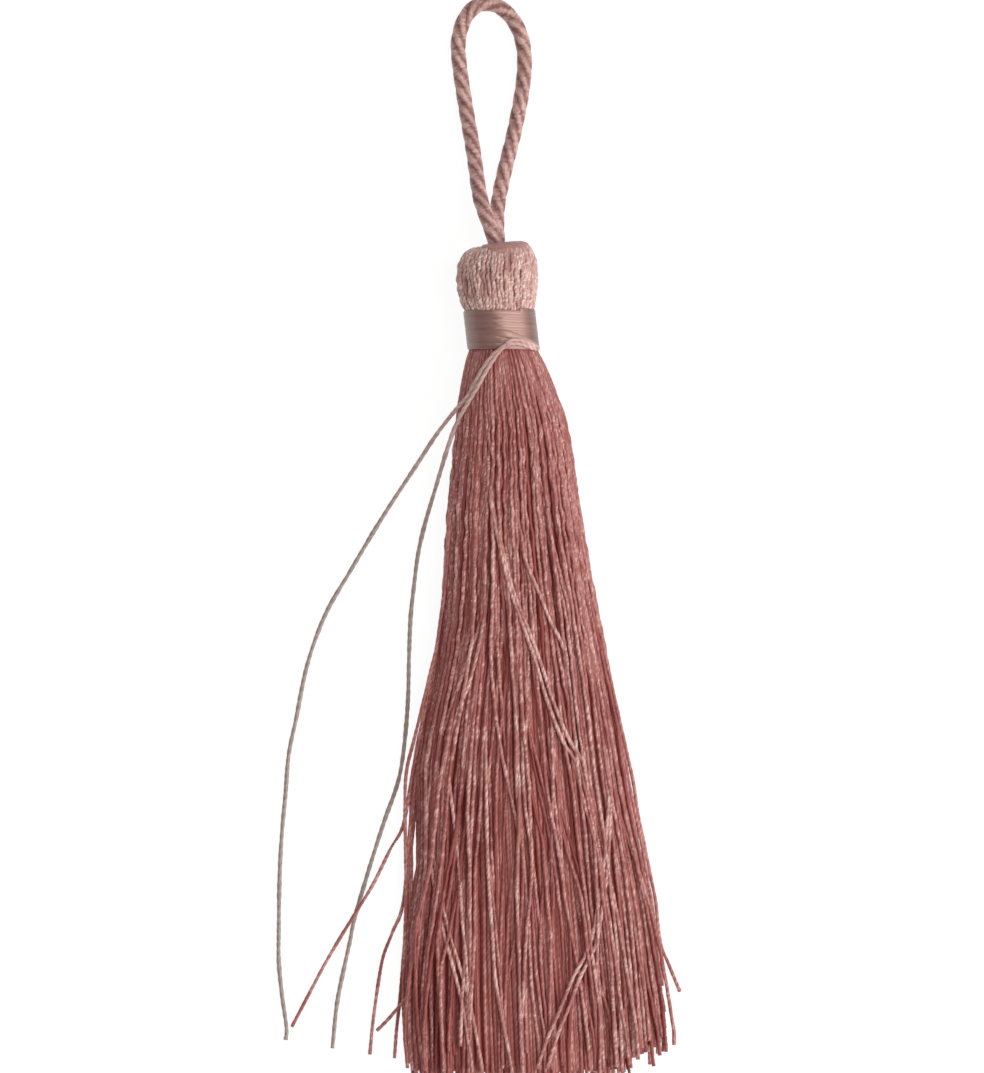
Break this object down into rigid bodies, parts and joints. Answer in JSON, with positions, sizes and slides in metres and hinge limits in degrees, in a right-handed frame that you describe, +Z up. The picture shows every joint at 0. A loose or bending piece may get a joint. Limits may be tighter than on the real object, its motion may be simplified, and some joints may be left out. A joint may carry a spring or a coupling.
{
  "type": "silky thread tassel",
  "caption": "Silky thread tassel with a ridged head, a wound neck, a long skirt of loose threads, a twisted cord loop and two loose tie ends, lying on its back.",
  "frame": {"origin": "on the surface that the tassel lies on, under the middle of its head", "axes": "+Y from the skirt towards the hanging loop, +Z up, +X to the right when the loop points away from the viewer"},
  "size_m": [0.053, 0.1416, 0.0105],
  "materials": {
    "silky_thread": "silky two-ply thread with a pearly gleam",
    "binding_floss": "smooth wound floss, satin",
    "loop_cord": "twisted four-ply cord, silky",
    "tie_thread": "fine twisted thread, greyish pink"
  },
  "bodies": {
    "root": {"head_and_skirt": "silky_thread", "binding": "binding_floss", "hanging_loop": "loop_cord", "tie_end_long": "tie_thread", "tie_end_short": "tie_thread"}
  },
  "joints": []
}
